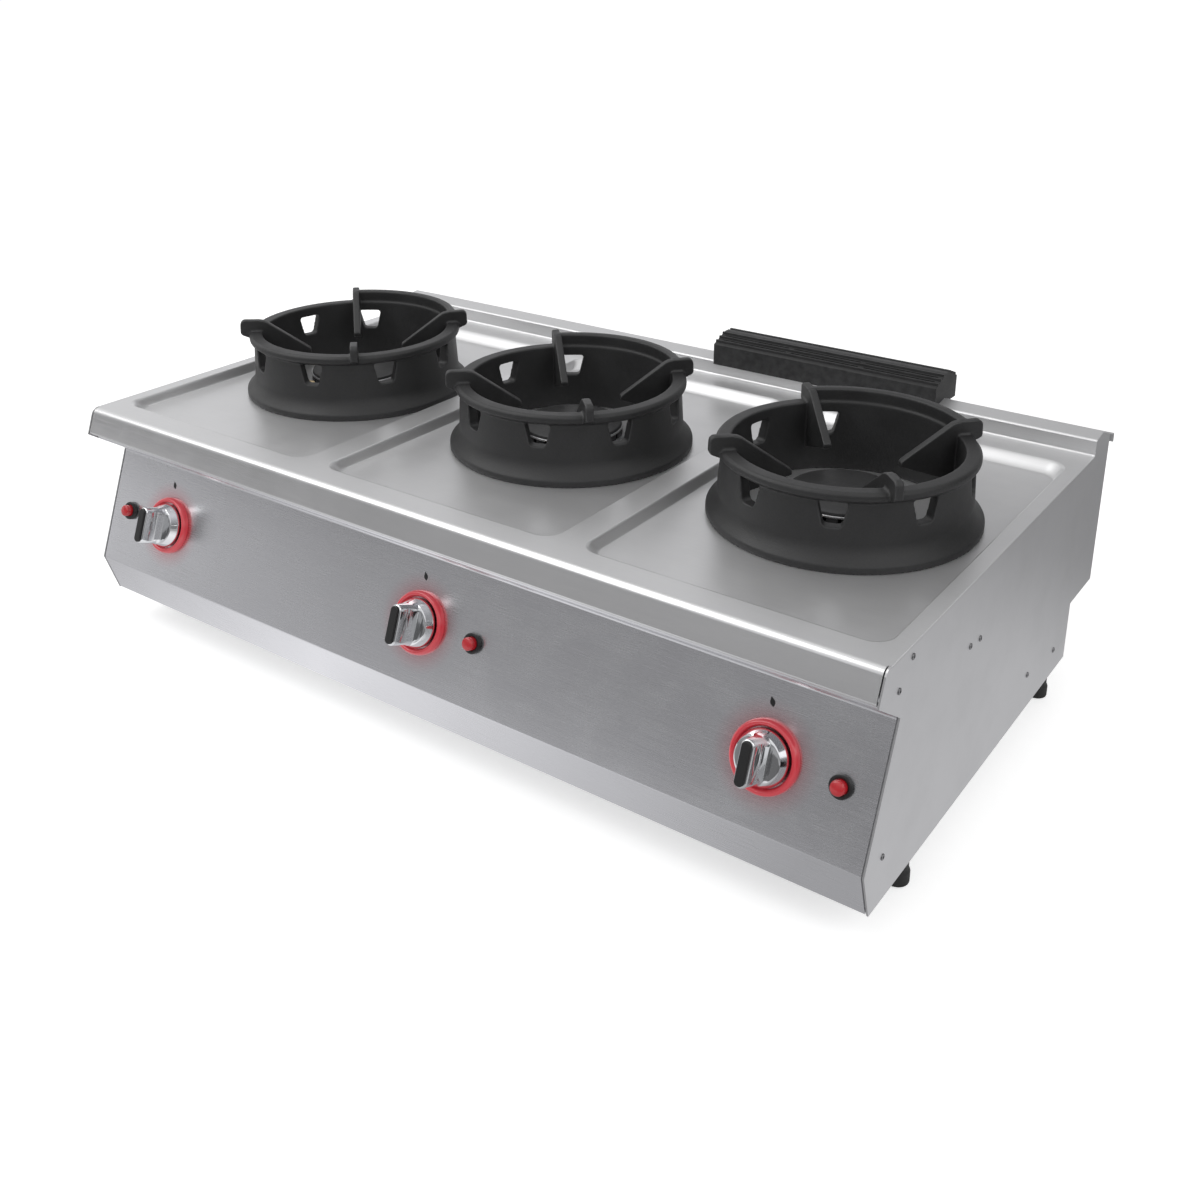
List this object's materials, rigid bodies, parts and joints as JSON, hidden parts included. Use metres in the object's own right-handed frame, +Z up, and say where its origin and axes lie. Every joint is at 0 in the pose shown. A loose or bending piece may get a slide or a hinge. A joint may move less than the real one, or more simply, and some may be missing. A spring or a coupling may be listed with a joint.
{
  "type": "wok range",
  "caption": "Countertop gas wok range: stainless casing, slanted control panel with push-and-turn knobs and igniter buttons, cast wok rings with fins over open burners, and a flue cap.",
  "frame": {"origin": "middle of the footprint, knobs included, on the surface that the feet stand on", "axes": "+X along the front to the viewer's right, +Y from the front to the back, +Z up; the knobs face -Y"},
  "size_m": [1.2, 0.7578, 0.4248],
  "materials": {
    "stainless": "fine brushed, satin",
    "panel_steel": "fine brushed, satin",
    "galvanised": "matt zinc-coated sheet",
    "cast_iron": "sand-cast, satin black",
    "brass": "turned",
    "copper": "drawn copper tube",
    "alloy": "die-cast",
    "chrome": "polished",
    "black_plastic": "satin",
    "red_plastic": "glossy",
    "rubber": "matt"
  },
  "bodies": {
    "casing": {"worktop": "stainless", "side_panel_left": "stainless", "side_panel_right": "stainless", "control_panel": "panel_steel", "bottom_panel": "galvanised", "back_panel": "galvanised", "front_rail": "galvanised", "rear_rail": "galvanised", "gas_inlet": "brass", "flue_duct": "galvanised", "gas_manifold": "galvanised", "burner_bearer_1": "galvanised", "gas_pipe_1": "copper", "burner_body_1": "cast_iron", "pilot_burner_1": "brass", "knob_bezel_1": "red_plastic", "gas_valve_1": "alloy", "igniter_body_1": "black_plastic", "burner_bearer_2": "galvanised", "gas_pipe_2": "copper", "burner_body_2": "cast_iron", "pilot_burner_2": "brass", "knob_bezel_2": "red_plastic", "gas_valve_2": "alloy", "igniter_body_2": "black_plastic", "burner_bearer_3": "galvanised", "gas_pipe_3": "copper", "burner_body_3": "cast_iron", "pilot_burner_3": "brass", "knob_bezel_3": "red_plastic", "gas_valve_3": "alloy", "igniter_body_3": "black_plastic", "foot_front_left": "rubber", "foot_front_right": "rubber", "foot_rear_left": "rubber", "foot_rear_right": "rubber"},
    "valve_plug_1": {"valve_plug_1": "brass"},
    "knob_1": {"knob_1": "chrome", "knob_insert_1": "black_plastic", "valve_spindle_1": "alloy"},
    "igniter_button_1": {"igniter_button_1": "red_plastic"},
    "wok_ring_1": {"wok_ring_1": "cast_iron"},
    "burner_head_1": {"burner_head_1": "cast_iron"},
    "valve_plug_2": {"valve_plug_2": "brass"},
    "knob_2": {"knob_2": "chrome", "knob_insert_2": "black_plastic", "valve_spindle_2": "alloy"},
    "igniter_button_2": {"igniter_button_2": "red_plastic"},
    "wok_ring_2": {"wok_ring_2": "cast_iron"},
    "burner_head_2": {"burner_head_2": "cast_iron"},
    "valve_plug_3": {"valve_plug_3": "brass"},
    "knob_3": {"knob_3": "chrome", "knob_insert_3": "black_plastic", "valve_spindle_3": "alloy"},
    "igniter_button_3": {"igniter_button_3": "red_plastic"},
    "wok_ring_3": {"wok_ring_3": "cast_iron"},
    "burner_head_3": {"burner_head_3": "cast_iron"},
    "flue_cap": {"flue_cap": "cast_iron"}
  },
  "joints": [
    {"name": "knob_turn_1", "type": "hinge", "parent": "casing", "child": "valve_plug_1", "pos_m": [-0.473, -0.32329, 0.17951], "axis": [0, -0.9336, 0.3584], "range_deg": [0, 210]},
    {"name": "knob_push_1", "type": "slide", "parent": "valve_plug_1", "child": "knob_1", "axis": [0, 0.9336, -0.3584], "range_m": [0, 0.005], "stiffness_N_per_m": 2000, "springref_m": -0.002},
    {"name": "igniter_press_1", "type": "slide", "parent": "casing", "child": "igniter_button_1", "axis": [0, 0.9336, -0.3584], "range_m": [0, 0.007], "stiffness_N_per_m": 1500, "springref_m": -0.002},
    {"name": "wok_ring_lift_1", "type": "slide", "parent": "casing", "child": "wok_ring_1", "axis": [0, 0, 1], "range_m": [0, 0.12]},
    {"name": "burner_head_lift_1", "type": "slide", "parent": "casing", "child": "burner_head_1", "axis": [0, 0, 1], "range_m": [0, 0.018]},
    {"name": "knob_turn_2", "type": "hinge", "parent": "casing", "child": "valve_plug_2", "pos_m": [0, -0.32329, 0.17951], "axis": [0, -0.9336, 0.3584], "range_deg": [0, 210]},
    {"name": "knob_push_2", "type": "slide", "parent": "valve_plug_2", "child": "knob_2", "axis": [0, 0.9336, -0.3584], "range_m": [0, 0.005], "stiffness_N_per_m": 2000, "springref_m": -0.002},
    {"name": "igniter_press_2", "type": "slide", "parent": "casing", "child": "igniter_button_2", "axis": [0, 0.9336, -0.3584], "range_m": [0, 0.007], "stiffness_N_per_m": 1500, "springref_m": -0.002},
    {"name": "wok_ring_lift_2", "type": "slide", "parent": "casing", "child": "wok_ring_2", "axis": [0, 0, 1], "range_m": [0, 0.12]},
    {"name": "burner_head_lift_2", "type": "slide", "parent": "casing", "child": "burner_head_2", "axis": [0, 0, 1], "range_m": [0, 0.018]},
    {"name": "knob_turn_3", "type": "hinge", "parent": "casing", "child": "valve_plug_3", "pos_m": [0.473, -0.32329, 0.17951], "axis": [0, -0.9336, 0.3584], "range_deg": [0, 210]},
    {"name": "knob_push_3", "type": "slide", "parent": "valve_plug_3", "child": "knob_3", "axis": [0, 0.9336, -0.3584], "range_m": [0, 0.005], "stiffness_N_per_m": 2000, "springref_m": -0.002},
    {"name": "igniter_press_3", "type": "slide", "parent": "casing", "child": "igniter_button_3", "axis": [0, 0.9336, -0.3584], "range_m": [0, 0.007], "stiffness_N_per_m": 1500, "springref_m": -0.002},
    {"name": "wok_ring_lift_3", "type": "slide", "parent": "casing", "child": "wok_ring_3", "axis": [0, 0, 1], "range_m": [0, 0.12]},
    {"name": "burner_head_lift_3", "type": "slide", "parent": "casing", "child": "burner_head_3", "axis": [0, 0, 1], "range_m": [0, 0.018]},
    {"name": "flue_cap_lift", "type": "slide", "parent": "casing", "child": "flue_cap", "axis": [0, 0, 1], "range_m": [0, 0.06]}
  ]
}
